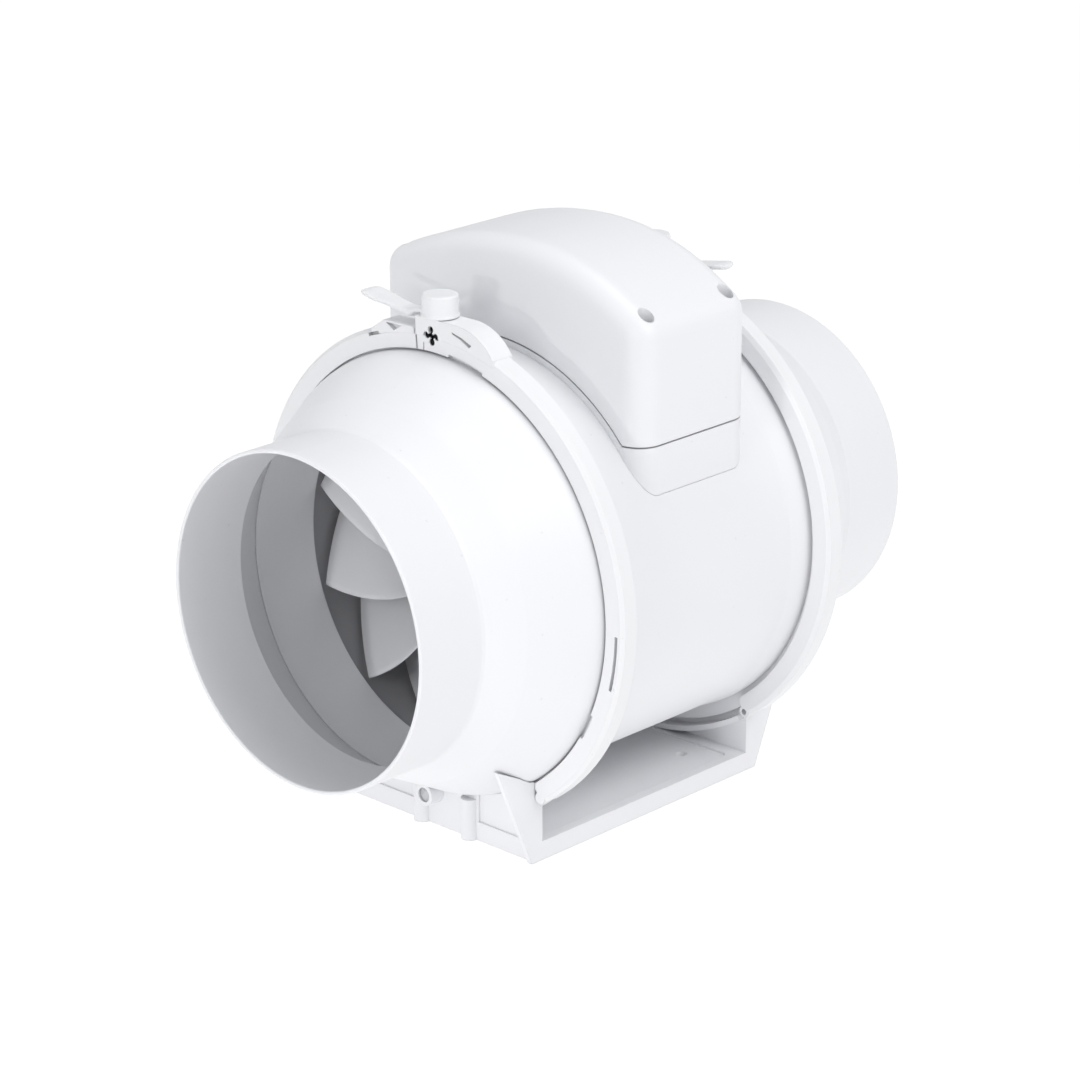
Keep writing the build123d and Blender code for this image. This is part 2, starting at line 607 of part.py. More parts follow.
with BuildPart() as terminal_base:
    with BuildSketch(Plane.XY.offset(axis_h + 40.0)):
        with Locations((box_mid, 0)):
            RectangleRounded(box_len, 2 * box_y, box_corner)
    extrude(amount=70.0)
    add(turned([(-60.0, seam_r), (-60.0, 140.0), (60.0, 140.0), (60.0, seam_r)]),
        mode=Mode.SUBTRACT)
    # the right end rises to the seam, square with the cover
    with BuildSketch(Plane.XY.offset(axis_h + 40.0)):
        with Locations((box_mid, 0)):
            RectangleRounded(box_len, 2 * box_y, box_corner)
        with Locations((box_mid - 14.0, 0)):
            Rectangle(box_len, 100.0, mode=Mode.SUBTRACT)
    extrude(amount=25.0)
    # seat of the terminal block
    with Locations((16.0, 0, axis_h + 92.0)):
        Box(50.0, 22.0, 14.5)
    # towers the cover screws bite into
    for x, y in lid_screws:
        top = 69.8 if x > 0 else 79.8
        with Locations((x, y, axis_h + top - 8.0)):
            Cylinder(4.2, 16.0)
    add(turned([(-60.0, 0.0), (-60.0, body_r), (60.0, body_r), (60.0, 0.0)]), mode=Mode.SUBTRACT)
    for x, y in lid_screws:
        with Locations((x, y, axis_h + (69.8 if x > 0 else 79.8) - 5.0)):
            Cylinder(1.5, 12.0, mode=Mode.SUBTRACT)
    with Locations((44.0, 0, axis_h + 80.0)):
        Cylinder(5.0, 60.0, mode=Mode.SUBTRACT)
save(terminal_base.part, "terminal_base")

with BuildPart() as terminal_cover_screws:
    for x, y in lid_screws:
        top = axis_h + (108.0 if x > 0 else 114.0)
        tip = axis_h + (63.5 if x > 0 else 75.5)
        with Locations((x, y, (top + tip) / 2)):
            Cylinder(1.48, top - tip)
        with Locations((x, y, top + 1.1)):
            Cylinder(3.1, 2.2)
        with Locations((x, y, top + 1.8)):
            Box(4.2, 0.9, 1.0, mode=Mode.SUBTRACT)
            Box(0.9, 4.2, 1.0, mode=Mode.SUBTRACT)
save(terminal_cover_screws.part, "terminal_cover_screws")

seat_z = axis_h + 99.25
with BuildPart() as terminal_block:
    with Locations((16.0, 0, seat_z + 6.5)):
        Box(44.0, 16.0, 13.0)
    with BuildSketch(Plane.XY.offset(seat_z + 13.0)):
        with Locations((16.0, 0)):
            for k in range(5):
                with Locations((-17.6 + 8.8 * k, 0)):
                    Circle(2.4)
    extrude(amount=-7.0, mode=Mode.SUBTRACT)
    with Locations(Location((16.0, 0, seat_z + 4.0), (90, 0, 0))):
        with GridLocations(8.8, 1, 5, 1):
            Cylinder(1.9, 30.0, mode=Mode.SUBTRACT)
save(terminal_block.part, "terminal_block")

with BuildPart() as terminal_block_screws:
    for k in range(5):
        with Locations((16.0 - 17.6 + 8.8 * k, 0, seat_z + 8.6)):
            Cylinder(2.2, 5.0)
        with Locations((16.0 - 17.6 + 8.8 * k, 0, seat_z + 10.9)):
            Box(4.0, 0.8, 0.9, mode=Mode.SUBTRACT)
save(terminal_block_screws.part, "terminal_block_screws")

cap_x, cap_z, cap_r = -38.0, axis_h + 106.6, 13.0
with BuildPart() as capacitor:
    add(rod(cap_r, -26.0, 24.0, cap_x, cap_z))
    fillet(capacitor.edges(), 1.2)
    for s in (-1, 1):
        with Locations((cap_x + 4.5 * s, 26.0, cap_z)):
            Box(0.8, 6.0, 4.6)
save(capacitor.part, "capacitor")

with BuildPart() as capacitor_clip:
    add(rod(cap_r + 1.6, -6.0, 6.0, cap_x, cap_z))
    with Locations((cap_x + 2.0, 0, cap_z - 14.0)):
        Box(16.0, 12.0, 12.0)
    add(rod(cap_r, -7.0, 7.0, cap_x, cap_z), mode=Mode.SUBTRACT)
    add(slab([(cap_x - 9.0, cap_z - axis_h + 30.0), (cap_x - 9.0, cap_z - axis_h + 4.0),
              (cap_x + 9.0, cap_z - axis_h + 4.0), (cap_x + 9.0, cap_z - axis_h + 30.0)],
             -8.0, 8.0), mode=Mode.SUBTRACT)
    add(turned([(-60.0, 0.0), (-60.0, seam_r), (60.0, seam_r), (60.0, 0.0)]), mode=Mode.SUBTRACT)
save(capacitor_clip.part, "capacitor_clip")

# ---------------------------------------------------------------- cable gland
gland_axis = Plane(origin=(box_x0, gland_y, gland_z), x_dir=(0, 1, 0), z_dir=(-1, 0, 0))
with BuildPart() as gland_body:
    with BuildSketch(gland_axis):
        RegularPolygon(11.0, 6)
    extrude(amount=4.5)
    with BuildSketch(gland_axis.offset(4.5)):
        Circle(7.6)
    extrude(amount=8.0)
    with BuildSketch(gland_axis):
        Circle(8.0)
    extrude(amount=-9.0)
    with BuildSketch(gland_axis.offset(-10.0)):
        Circle(5.4)
    extrude(amount=30.0, mode=Mode.SUBTRACT)
save(gland_body.part, "gland_body")

with BuildPart() as gland_locknut:
    with BuildSketch(gland_axis.offset(-box_t)):
        RegularPolygon(10.6, 6)
        Circle(8.05, mode=Mode.SUBTRACT)
    extrude(amount=-4.0)
save(gland_locknut.part, "gland_locknut")

with BuildPart() as gland_seal:
    with BuildSketch(gland_axis.offset(7.0)):
        Circle(5.3)
        Circle(4.0, mode=Mode.SUBTRACT)
    extrude(amount=9.0)
save(gland_seal.part, "gland_seal")

with BuildPart() as gland_nut:
    with BuildSketch(gland_axis.offset(5.0)):
        RegularPolygon(10.4, 6)
    extrude(amount=9.0)
    with BuildSketch(gland_axis.offset(14.0)):
        Circle(8.6)
    extrude(amount=4.0, taper=18)
    with BuildSketch(gland_axis.offset(4.0)):
        Circle(7.65)
    extrude(amount=11.0, mode=Mode.SUBTRACT)
    with BuildSketch(gland_axis.offset(10.0)):
        Circle(5.4)
    extrude(amount=12.0, mode=Mode.SUBTRACT)
save(gland_nut.part, "gland_nut")
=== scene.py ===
import math

import bmesh
import bpy
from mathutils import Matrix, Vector


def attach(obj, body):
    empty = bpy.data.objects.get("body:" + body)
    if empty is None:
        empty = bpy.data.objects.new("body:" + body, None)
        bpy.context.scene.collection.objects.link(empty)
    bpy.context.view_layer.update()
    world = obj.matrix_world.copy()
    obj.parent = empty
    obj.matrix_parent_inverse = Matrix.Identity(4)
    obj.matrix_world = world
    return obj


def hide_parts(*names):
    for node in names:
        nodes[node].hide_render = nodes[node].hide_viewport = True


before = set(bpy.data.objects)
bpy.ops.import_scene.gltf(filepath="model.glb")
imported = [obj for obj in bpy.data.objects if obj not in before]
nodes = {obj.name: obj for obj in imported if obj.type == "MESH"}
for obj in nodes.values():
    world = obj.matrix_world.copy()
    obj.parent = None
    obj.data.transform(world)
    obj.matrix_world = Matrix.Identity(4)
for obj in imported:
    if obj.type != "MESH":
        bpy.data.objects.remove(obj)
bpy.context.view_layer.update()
print("frame loaded,", len(nodes), "nodes")

mm = 0.001
axisHeight = 0.117          # duct axis above the mounting face


# A value socket that can be used in plain sums.
class Signal:
    def __init__(self, maker, socket):
        self.maker = maker
        self.socket = socket

    def sum(self, operation, left, right=None):
        values = {0: left} if right is None else {0: left, 1: right}
        return self.maker.add("ShaderNodeMath", {"operation": operation}, values).value()

    def __add__(self, other):
        return self.sum("ADD", self, other)

    def __radd__(self, other):
        return self.sum("ADD", other, self)

    def __sub__(self, other):
        return self.sum("SUBTRACT", self, other)

    def __rsub__(self, other):
        return self.sum("SUBTRACT", other, self)

    def __mul__(self, other):
        return self.sum("MULTIPLY", self, other)

    def __rmul__(self, other):
        return self.sum("MULTIPLY", other, self)

    def __truediv__(self, other):
        return self.sum("DIVIDE", self, other)

    def __pow__(self, other):
        return self.sum("POWER", self, other)


# A node just added, giving its outputs.
class Added:
    def __init__(self, maker, node):
        self.maker = maker
        self.node = node

    def value(self, name=0):
        return Signal(self.maker, self.node.outputs[name])


# Adds nodes to one tree, with values set or sockets linked.
class NodeMaker:
    def add(self, kind, settings=None, values=None):
        node = self.tree.nodes.new(kind)
        for key, setting in (settings or {}).items():
            setattr(node, key, setting)
        for key, given in (values or {}).items():
            if isinstance(given, Signal):
                self.tree.links.new(given.socket, node.inputs[key])
            else:
                node.inputs[key].default_value = given
        return Added(self, node)


# One material and the nodes in it.
class Finish(NodeMaker):
    def __init__(self, name):
        self.material = bpy.data.materials.new(name)
        self.material.use_nodes = True
        self.tree = self.material.node_tree
        self.tree.nodes.clear()

    def noise(self, where, scale, detail=3.0, roughness=0.5):
        return self.add("ShaderNodeTexNoise", {}, {
            "Vector": where, "Scale": scale, "Detail": detail,
            "Roughness": roughness}).value("Fac")

    def step(self, signal, low, high):
        return self.add("ShaderNodeMapRange", {"interpolation_type": "SMOOTHSTEP"}, {
            "Value": signal, "From Min": low, "From Max": high}).value("Result")

    def blend(self, amount, first, second):
        # sockets 6 and 7 are the colours of a Mix node, output 2 its colour
        return self.add("ShaderNodeMix", {"data_type": "RGBA"}, {
            0: amount, 6: first, 7: second}).value(2)

    def place(self, stretch=(1.0, 1.0, 1.0)):
        where = self.add("ShaderNodeTexCoord").value("Object")
        return self.add("ShaderNodeMapping", {}, {"Vector": where, "Scale": stretch}).value()

    # the rounded normal, and how far it turns from the flat one
    def edges(self, radius):
        soft = self.add("ShaderNodeBevel", {"samples": 4}, {"Radius": radius}).value()
        flat = self.add("ShaderNodeNewGeometry").value("Normal")
        agree = self.add("ShaderNodeVectorMath", {"operation": "DOT_PRODUCT"},
                         {0: soft, 1: flat}).value("Value")
        return soft, 1.0 - agree

    def relief(self, height, distance, strength, under=None):
        values = {"Height": height, "Distance": distance, "Strength": strength}
        if under is not None:
            values["Normal"] = under
        return self.add("ShaderNodeBump", {}, values).value()

    def surface(self, values):
        shader = self.add("ShaderNodeBsdfPrincipled", {}, values).value()
        self.add("ShaderNodeOutputMaterial", {}, {"Surface": shader})
        return self.material


def rgba(colour, scale=1.0):
    return tuple(c * scale for c in colour) + (1.0,)


# injection moulded ABS: spark-eroded grain, soft corners, painted shade from ambient occlusion
# darkening the joints and crevices towards dust grey, and dust specks
def mouldedPlastic(name, colour, dustAndShadeGrey, roughness=0.42, grain=0.5, edge=0.5 * mm, shadeAndDustStrength=0.55):
    f = Finish(name)
    here = f.place()
    cloud = f.noise(here, 11.0, 2.0)
    flow = f.noise(f.place((9.0, 1.4, 9.0)), 6.0, 3.0)
    spark = f.noise(here, 1500.0, 2.0, 0.6)
    ripple = f.noise(here, 55.0, 2.0)
    soft, corner = f.edges(edge)
    rubbed = f.step(corner, 0.01, 0.22)
    # painted shade: ambient occlusion darkens crevices and gaps between parts towards the dust
    # grey, broken up by noise
    crevice = 1.0 - f.add("ShaderNodeAmbientOcclusion", {"samples": 6, "only_local": False}, {
        "Distance": 4.0 * mm}).value("AO")
    creviceShadeAndDust = f.step(crevice, 0.45, 1.0) * (0.65 + 0.5 * f.noise(here, 140.0, 3.0)) * shadeAndDustStrength
    speck = f.step(f.noise(here, 430.0, 1.0), 0.77, 0.83) * 0.16
    base = f.blend(cloud, rgba(colour, 0.975), rgba(colour, 1.015))
    base = f.blend(rubbed * 0.35, base, rgba(tuple(min(1.0, c * 1.05) for c in colour)))
    # blends in the painted crevice shade and the real dust specks, both in the dust grey
    base = f.blend(creviceShadeAndDust + speck, base, rgba(dustAndShadeGrey))
    sheen = roughness + (flow - 0.5) * 0.10 + (spark - 0.5) * 0.08 - rubbed * 0.09
    height = spark + ripple * 1.6
    return f.surface({
        "Base Color": base, "Roughness": sheen + creviceShadeAndDust * 0.25, "IOR": 1.49,
        "Normal": f.relief(height, 0.035 * mm, grain, soft)})


# zinc plated or ground steel with fine turning marks and a dull film
def platedSteel(name, colour, tarnish, roughness=0.3, turned=900.0):
    f = Finish(name)
    here = f.place()
    marks = f.noise(f.place((1.0, 6.0, 1.0)), turned, 2.0)
    film = f.step(f.noise(here, 210.0, 4.0, 0.62), 0.42, 0.68)
    soft, corner = f.edges(0.25 * mm)
    bright = f.step(corner, 0.02, 0.3)
    base = f.blend(film * 0.6, rgba(colour), rgba(tarnish))
    base = f.blend(bright * 0.5, base, rgba(tuple(min(1.0, c * 1.25) for c in colour)))
    return f.surface({
        "Base Color": base, "Metallic": 1.0,
        "Roughness": roughness + film * 0.18 + (marks - 0.5) * 0.14 - bright * 0.08,
        "Normal": f.relief(marks, 0.02 * mm, 0.4, soft)})


# motor laminations, half a millimetre each, seen on edge along the duct
def stackedSteel(name, colour, gap):
    f = Finish(name)
    here = f.place()
    along = f.add("ShaderNodeSeparateXYZ", {}, {"Vector": here}).value("Y")
    sheets = f.add("ShaderNodeMath", {"operation": "PINGPONG"}, {
        0: along, 1: 0.25 * mm}).value()
    seam = 1.0 - f.step(sheets, 0.0, 0.06 * mm)
    rust = f.step(f.noise(here, 160.0, 5.0, 0.6), 0.55, 0.75)
    base = f.blend(rust * 0.35, rgba(colour), (0.16, 0.09, 0.06, 1.0))
    base = f.blend(seam, base, rgba(gap))
    return f.surface({
        "Base Color": base, "Metallic": 0.85, "Roughness": 0.45 + rust * 0.25,
        "Normal": f.relief(1.0 - seam, 0.05 * mm, 0.6)})


# enamelled wire laid in turns around the duct axis
def woundCopper(name, colour):
    f = Finish(name)
    here = f.place()
    across = f.add("ShaderNodeVectorMath", {"operation": "SUBTRACT"}, {
        0: here, 1: (0.0, 0.0, axisHeight)}).value("Vector")
    turns = f.add("ShaderNodeTexWave", {
        "wave_type": "RINGS", "rings_direction": "Y"}, {
        "Vector": across, "Scale": 360.0, "Distortion": 1.4, "Detail": 1.0,
        "Detail Scale": 3.0}).value("Fac")
    shade = f.noise(here, 120.0, 3.0)
    base = f.blend(shade, rgba(colour, 0.8), rgba(colour, 1.15))
    return f.surface({
        "Base Color": base, "Metallic": 0.7, "Roughness": 0.28 + shade * 0.15,
        "Coat Weight": 0.5, "Normal": f.relief(turns, 0.25 * mm, 0.8)})


def castAluminium(name, colour):
    f = Finish(name)
    here = f.place()
    skin = f.noise(here, 620.0, 4.0, 0.65)
    pits = f.step(f.noise(here, 240.0, 2.0), 0.66, 0.8)
    soft, corner = f.edges(0.4 * mm)
    base = f.blend(pits * 0.5 + skin * 0.25, rgba(colour), rgba(colour, 0.66))
    return f.surface({
        "Base Color": base, "Metallic": 0.9,
        "Roughness": 0.42 + skin * 0.2 - f.step(corner, 0.02, 0.3) * 0.12,
        "Normal": f.relief(skin - pits, 0.09 * mm, 0.6, soft)})


def sealRubber(name, colour):
    f = Finish(name)
    here = f.place()
    bloom = f.step(f.noise(here, 90.0, 4.0, 0.6), 0.45, 0.75)
    tooth = f.noise(here, 1100.0, 2.0)
    base = f.blend(bloom * 0.4, rgba(colour), rgba((0.11, 0.11, 0.12)))
    return f.surface({
        "Base Color": base, "Roughness": 0.68 + bloom * 0.18,
        "Normal": f.relief(tooth, 0.04 * mm, 0.6)})


casingWhite = mouldedPlastic("casingWhite", (0.86, 0.865, 0.885), (0.34, 0.34, 0.36))
clampWhite = mouldedPlastic("clampWhite", (0.875, 0.88, 0.895), (0.33, 0.33, 0.35),
                            roughness=0.36, grain=0.35)
bladeGrey = mouldedPlastic("bladeGrey", (0.81, 0.815, 0.835), (0.2, 0.2, 0.21),
                           roughness=0.4, grain=0.4, edge=0.3 * mm)
# painted shade: the hub, spinner and vane carrier are given near-black where the cavity deep
# in the duct lies in shade
ductPaintedShade = mouldedPlastic("ductPaintedShade", (0.05, 0.05, 0.053), (0.03, 0.03, 0.03),
                          roughness=0.5, grain=0.5)
glandGrey = mouldedPlastic("glandGrey", (0.33, 0.34, 0.355), (0.12, 0.12, 0.12),
                           roughness=0.46, grain=0.7, edge=0.35 * mm)
blockCream = mouldedPlastic("blockCream", (0.78, 0.75, 0.66), (0.25, 0.24, 0.2),
                            roughness=0.28, grain=0.3, edge=0.3 * mm)
zincSteel = platedSteel("zincSteel", (0.58, 0.585, 0.6), (0.28, 0.285, 0.3))
groundSteel = platedSteel("groundSteel", (0.62, 0.62, 0.63), (0.4, 0.4, 0.41), 0.2, 1600.0)
laminations = stackedSteel("laminations", (0.36, 0.37, 0.39), (0.04, 0.04, 0.045))
copperWire = woundCopper("copperWire", (0.66, 0.27, 0.12))
motorAlloy = castAluminium("motorAlloy", (0.6, 0.61, 0.63))
# painted shade: the shroud is given a mid grey where its wall lies in shade deep inside the
# intake
shroudPaintedShade = mouldedPlastic("shroudPaintedShade", (0.36, 0.36, 0.375), (0.1, 0.1, 0.1),
                            roughness=0.46, grain=0.5)
lockBlack = platedSteel("lockBlack", (0.02, 0.022, 0.025), (0.008, 0.008, 0.009), 0.4)
blackRubber = sealRubber("blackRubber", (0.028, 0.028, 0.03))

finishes = {
    casingWhite: ["intake_cap", "outlet_cap", "motor_block", "bracket", "terminal_base",
                  "terminal_cover", "inlet_ring"],
    clampWhite: ["front_right_arm", "front_left_arm", "rear_right_arm", "rear_left_arm",
                 "front_lock_lever", "rear_lock_lever"],
    bladeGrey: ["impeller_blades", "guide_vanes"],
    ductPaintedShade: ["impeller_hub", "spinner", "vane_carrier"],
    shroudPaintedShade: ["impeller_shroud"],
    lockBlack: ["front_lock_screw", "rear_lock_screw"],
    glandGrey: ["gland_body", "gland_nut", "gland_locknut", "capacitor_clip"],
    blockCream: ["terminal_block", "capacitor"],
    zincSteel: ["bracket_screws", "terminal_cover_screws", "front_hinge_pins",
                "rear_hinge_pins", "motor_screws", "impeller_nut", "terminal_block_screws"],
    groundSteel: ["motor_shaft", "front_bearing", "rear_bearing"],
    laminations: ["stator_core", "rotor_core"],
    copperWire: ["stator_windings"],
    motorAlloy: ["motor_can", "motor_front_shield", "motor_rear_shield"],
    blackRubber: ["intake_gasket", "outlet_gasket", "gland_seal"],
}
for finish, names in finishes.items():
    for name in names:
        nodes[name].data.materials.clear()
        nodes[name].data.materials.append(finish)
bare = [n for n in nodes if not any(n in names for names in finishes.values())]
print("finishes set, nodes without one:", bare)


# One geometry nodes tree with named inputs.
class Recipe(NodeMaker):
    def __init__(self, name, inputs):
        self.tree = bpy.data.node_groups.new(name, "GeometryNodeTree")
        face = self.tree.interface
        face.new_socket("Geometry", in_out="INPUT", socket_type="NodeSocketGeometry")
        face.new_socket("Geometry", in_out="OUTPUT", socket_type="NodeSocketGeometry")
        self.settings = inputs
        self.keys = {}
        for label, given in inputs.items():
            kind = "NodeSocketInt" if isinstance(given, int) else "NodeSocketFloat"
            socket = face.new_socket(label, in_out="INPUT", socket_type=kind)
            self.keys[label] = socket.identifier
        self.entry = self.tree.nodes.new("NodeGroupInput")
        self.exit = self.tree.nodes.new("NodeGroupOutput")

    def input(self, label):
        return Signal(self, self.entry.outputs[label])

    def math(self, operation, *values):
        return self.add("ShaderNodeMath", {"operation": operation},
                        dict(enumerate(values))).value()

    # runs the tree and returns its mesh as a plain object
    def make(self, name, result, material):
        whole = self.add("GeometryNodeRealizeInstances", {}, {0: result}).value()
        done = self.add("GeometryNodeSetMaterial", {}, {
            "Geometry": whole, "Material": material})
        self.tree.links.new(done.node.outputs[0], self.exit.inputs[0])
        holder = bpy.data.objects.new(name + "Holder", bpy.data.meshes.new(name + "Start"))
        bpy.context.scene.collection.objects.link(holder)
        modifier = holder.modifiers.new("recipe", "NODES")
        modifier.node_group = self.tree
        for label, key in self.keys.items():
            modifier[key] = self.settings[label]
        bpy.context.view_layer.update()
        ready = holder.evaluated_get(bpy.context.evaluated_depsgraph_get())
        mesh = bpy.data.meshes.new_from_object(ready)
        holder.modifiers.remove(modifier)
        bpy.data.objects.remove(holder)
        piece = bpy.data.objects.new(name, mesh)
        bpy.context.scene.collection.objects.link(piece)
        return piece


def shadeSmooth(piece, angle=math.radians(40)):
    mesh = piece.data
    mesh.shade_smooth()
    mesh.set_sharp_from_angle(angle=angle)


# impeller blades, swept from the conical hub to the shroud
blades = {
    "count": 11, "firstAngle": 198.6, "wrapPerMetre": 1150.0, "lean": 16.0,
    "frontY": -0.063, "rearY": -0.020, "frontTip": 0.0818, "rearTip": 0.0900,
    "hubStartY": -0.058, "hubStart": 0.034, "hubSlope": 26.0 / 44.0, "rootDepth": 0.0006,
    "leanFrom": 0.083, "leanSpan": 0.046, "thickness": 0.0017,
    "alongPoints": 33, "outPoints": 17, "throughPoints": 5,
    # how square the section is, and the thinnest share of the thickness squared
    "edgePower": 8.0, "edgeLeast": 0.02, "tipPower": 30.0, "tipLeast": 0.05,
}


def makeBlades(s):
    r = Recipe("bladeRecipe", {
        "Count": s["count"], "First Angle": math.radians(s["firstAngle"]),
        "Wrap": math.radians(s["wrapPerMetre"]), "Lean": math.radians(s["lean"]),
        "Thickness": s["thickness"]})
    slab = r.add("GeometryNodeMeshCube", {}, {
        "Size": (1.0, 1.0, 1.0), "Vertices X": s["alongPoints"],
        "Vertices Y": s["outPoints"], "Vertices Z": s["throughPoints"]}).value("Mesh")
    place = r.add("GeometryNodeInputPosition").value()
    split = r.add("ShaderNodeSeparateXYZ", {}, {"Vector": place})
    along = split.value("X") + 0.5
    out = split.value("Y") + 0.5
    through = split.value("Z") * 2.0
    y = along * (s["rearY"] - s["frontY"]) + s["frontY"]
    root = (y - s["hubStartY"]) * s["hubSlope"] + (s["hubStart"] - s["rootDepth"])
    tip = along * (s["rearTip"] - s["frontTip"]) + s["frontTip"]
    radius = root + out * (tip - root)
    turn = (r.input("First Angle") + r.input("Lean") * (s["leanFrom"] - radius) / s["leanSpan"]
            - r.input("Wrap") * (y - s["frontY"]))
    # thin rounded edges at both ends of the flow path, full thickness between
    fromMiddle = r.math("ABSOLUTE", along * 2.0 - 1.0)
    body = r.math("SQRT", r.math(
        "MAXIMUM", 1.0 - fromMiddle ** s["edgePower"], s["edgeLeast"]))
    tipWear = r.math("SQRT", r.math("MAXIMUM", 1.0 - out ** s["tipPower"], s["tipLeast"]))
    half = r.input("Thickness") * 0.5 * body * tipWear
    angle = turn - through * half / radius
    spot = r.add("ShaderNodeCombineXYZ", {}, {
        "X": radius * r.math("COSINE", angle), "Y": y,
        "Z": radius * r.math("SINE", angle)}).value()
    blade = r.add("GeometryNodeSetPosition", {}, {"Geometry": slab, "Position": spot}).value()
    points = r.add("GeometryNodePoints", {}, {"Count": r.input("Count")}).value()
    index = r.add("GeometryNodeInputIndex").value()
    share = index * (2.0 * math.pi) / r.input("Count")
    turned = r.add("ShaderNodeCombineXYZ", {}, {"Y": share}).value()
    ring = r.add("GeometryNodeInstanceOnPoints", {}, {
        "Points": points, "Instance": blade, "Rotation": turned}).value()
    lifted = r.add("GeometryNodeTransform", {}, {
        "Geometry": r.add("GeometryNodeRealizeInstances", {}, {0: ring}).value(),
        "Translation": (0.0, 0.0, axisHeight)}).value()
    piece = r.make("impellerBladeSet", lifted, bladeGrey)
    shadeSmooth(piece)
    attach(piece, "rotor")
    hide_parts("impeller_blades")


makeBlades(blades)
print("blades made")

# lock levers: a round knob with a thumb wing that dips, then rises to its tip
lever = {
    "stem": 0.0078, "disc": 0.0084, "discTop": 0.0012, "stemTop": 0.0098, "rim": 0.0010,
    "spigot": 0.00293, "spigotDepth": 0.0022, "clampY": 0.0667, "seat": 0.1138,
    "voxel": 0.00036, "square": 0.7, "dish": 0.0005, "chamfer": 0.0004, "around": 32,
    # along the wing from the knob: place, half width, middle height, half thickness
    "wing": [(0.000, 0.0046, 0.0011, 0.0011), (0.008, 0.0046, 0.0011, 0.0011),
             (0.0115, 0.0046, 0.0008, 0.0013), (0.0150, 0.0046, -0.0011, 0.0018),
             (0.0200, 0.0045, -0.0009, 0.0014), (0.0280, 0.0051, 0.0004, 0.0012),
             (0.0350, 0.0062, 0.0014, 0.0013), (0.0405, 0.0060, 0.0024, 0.0014),
             (0.0432, 0.0044, 0.0025, 0.0012), (0.0444, 0.0022, 0.0025, 0.0007)],
}


# closed solid turned about a vertical line through centre
def addLathe(bm, profile, centre, steps=72):
    rings = []
    for radius, z in profile:
        ring = []
        for k in range(steps):
            t = 2 * math.pi * k / steps
            point = Vector((radius * math.cos(t), radius * math.sin(t), z))
            ring.append(bm.verts.new(centre + point))
        rings.append(ring)
    for low, high in zip(rings, rings[1:]):
        for k in range(steps):
            bm.faces.new((low[k], low[(k + 1) % steps], high[(k + 1) % steps], high[k]))
    bm.faces.new(list(reversed(rings[0])))
    bm.faces.new(rings[-1])


# closed solid skinned over rings of the same number of points
def addLoft(bm, sections):
    rings = [[bm.verts.new(point) for point in ring] for ring in sections]
    count = len(rings[0])
    for one, two in zip(rings, rings[1:]):
        for k in range(count):
            bm.faces.new((one[k], two[k], two[(k + 1) % count], one[(k + 1) % count]))
    bm.faces.new(rings[0])
    bm.faces.new(list(reversed(rings[-1])))


def makeLever(s, side, name, node, body):
    centre = Vector((0.0, side * s["clampY"], axisHeight + s["seat"]))
    bm = bmesh.new()
    rim = s["rim"]
    curve = [(s["stem"] - rim * (1 - math.cos(t)), s["stemTop"] - rim * (1 - math.sin(t)))
             for t in [math.radians(15 * k) for k in range(7)]]
    addLathe(bm, [(s["spigot"], -s["spigotDepth"]), (s["spigot"], 0.0), (s["disc"], 0.0),
                  (s["disc"], s["discTop"] - s["chamfer"]),
                  (s["disc"] - s["chamfer"], s["discTop"]),
                  (s["stem"], s["discTop"])] + curve, centre)
    sections = []
    for x, half, middle, thick in s["wing"]:
        ring = []
        for k in range(s["around"]):
            t = 2 * math.pi * k / s["around"]
            across = math.copysign(abs(math.cos(t)) ** s["square"], math.cos(t))
            up = math.copysign(abs(math.sin(t)) ** s["square"], math.sin(t))
            dish = s["dish"] * across ** 2
            ring.append(centre + Vector((side * x, half * across, middle + thick * up + dish)))
        sections.append(ring)
    addLoft(bm, sections)
    bmesh.ops.recalc_face_normals(bm, faces=bm.faces)
    mesh = bpy.data.meshes.new(name)
    bm.to_mesh(mesh)
    bm.free()
    piece = bpy.data.objects.new(name, mesh)
    bpy.context.scene.collection.objects.link(piece)
    # one skin over stem and wing, with the join blended as a moulding is
    skin = piece.modifiers.new("skin", "REMESH")
    skin.mode = "VOXEL"
    skin.voxel_size = s["voxel"]
    melt = piece.modifiers.new("melt", "SMOOTH")
    melt.factor = 0.5
    melt.iterations = 5
    ready = piece.evaluated_get(bpy.context.evaluated_depsgraph_get())
    solid = bpy.data.meshes.new_from_object(ready)
    piece.modifiers.clear()
    piece.data = solid
    solid.materials.clear()
    solid.materials.append(clampWhite)
    solid.shade_smooth()
    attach(piece, body)
    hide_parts(node)


makeLever(lever, -1, "frontLeverSkin", "front_lock_lever", "front_lever")
makeLever(lever, 1, "rearLeverSkin", "rear_lock_lever", "rear_lever")
print("levers made")

# stage, light and camera
stageSettings = {
    "floor": 6.0, "floorSides": 96, "floorColour": (0.14, 0.14, 0.145), "glow": 0.93,
    "sky": 0.50, "skyColour": (0.97, 0.98, 1.0),
}


def makeFloor(s):
    f = Finish("paleFloor")
    glow = f.add("ShaderNodeEmission", {}, {
        "Color": rgba((1.0, 1.0, 1.0)), "Strength": s["glow"]})
    paper = f.add("ShaderNodeBsdfDiffuse", {}, {"Color": rgba(s["floorColour"])})
    both = f.add("ShaderNodeAddShader", {}, {0: glow.value(), 1: paper.value()}).value()
    f.add("ShaderNodeOutputMaterial", {}, {"Surface": both})
    bm = bmesh.new()
    bmesh.ops.create_circle(bm, cap_ends=True, segments=s["floorSides"], radius=s["floor"])
    mesh = bpy.data.meshes.new("studioFloor")
    bm.to_mesh(mesh)
    bm.free()
    mesh.materials.append(f.material)
    floor = bpy.data.objects.new("studioFloor", mesh)
    bpy.context.scene.collection.objects.link(floor)


# turns an object at place so that it looks at aim
def lookAt(thing, place, aim):
    thing.location = place
    thing.rotation_euler = (Vector(aim) - Vector(place)).to_track_quat("-Z", "Y").to_euler()


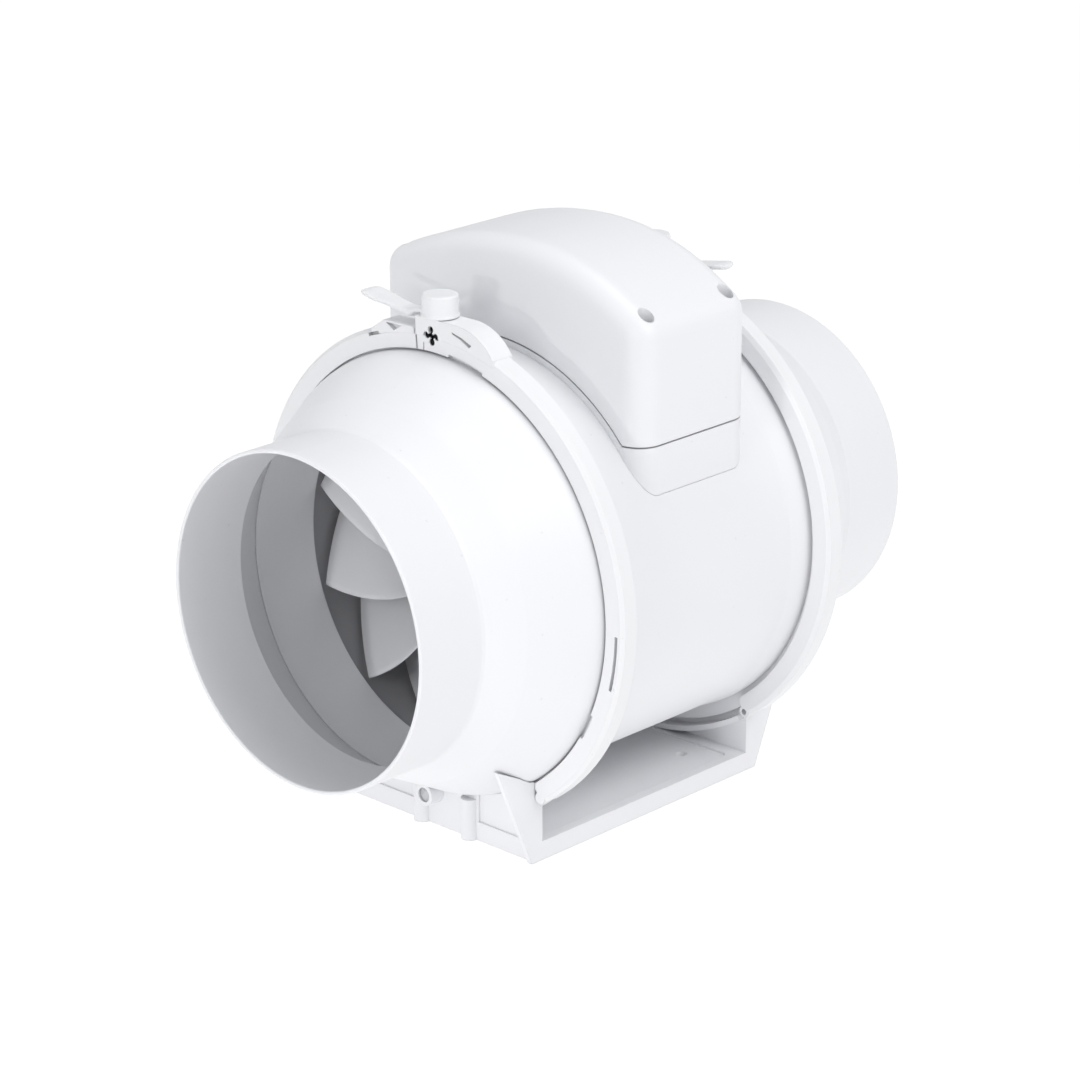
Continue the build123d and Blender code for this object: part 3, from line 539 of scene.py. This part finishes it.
def hangLamp(data, place, aim, watts):
    data.energy = watts
    lamp = bpy.data.objects.new(data.name, data)
    bpy.context.scene.collection.objects.link(lamp)
    lookAt(lamp, place, aim)


def makeSky(s):
    world = bpy.data.worlds.new("softRoom")
    world.use_nodes = True
    back = world.node_tree.nodes["Background"]
    back.inputs["Color"].default_value = rgba(s["skyColour"])
    back.inputs["Strength"].default_value = s["sky"]
    bpy.context.scene.world = world


makeFloor(stageSettings)
makeSky(stageSettings)

# soft round lamps: place, width, watts
lamps = {
    "keyLamp": ((1.5, 0.05, 1.5), 0.9, 11.0),
    "topLamp": ((0.1, 0.2, 1.9), 1.2, 9.0),
    "frontLamp": ((0.35, -1.8, 0.8), 0.7, 5.0),
}
lampAim = (0.0, 0.0, 0.12)
for name, (place, width, watts) in lamps.items():
    softLight = bpy.data.lights.new(name, "AREA")
    softLight.shape = "DISK"
    softLight.size = width
    hangLamp(softLight, place, lampAim, watts)

# a narrow beam down the intake, so that the blades read against the dark behind them
beam = {
    "from": (0.25, -2.0, 0.16), "to": (0.0, -0.05, 0.117), "degrees": 4.6, "watts": 75.0,
    "blend": 0.5, "softness": 0.12,
}
beamLight = bpy.data.lights.new("intakeSpot", "SPOT")
beamLight.spot_size = math.radians(beam["degrees"])
beamLight.spot_blend = beam["blend"]
beamLight.shadow_soft_size = beam["softness"]
hangLamp(beamLight, beam["from"], beam["to"], beam["watts"])

shot = {
    "from": (1.0652, -1.1323, 0.6681), "to": (0.0, 0.0, 0.117), "lens": 124.8,
    "shiftX": -0.0089, "shiftY": -0.0062,
}
cameraData = bpy.data.cameras.new("shotCamera")
cameraData.lens = shot["lens"]
cameraData.sensor_width = 36.0
cameraData.shift_x = shot["shiftX"]
cameraData.shift_y = shot["shiftY"]
camera = bpy.data.objects.new("shotCamera", cameraData)
bpy.context.scene.collection.objects.link(camera)
lookAt(camera, shot["from"], shot["to"])
bpy.context.scene.camera = camera
bpy.context.scene.view_settings.view_transform = "Standard"
print("stage and camera set")
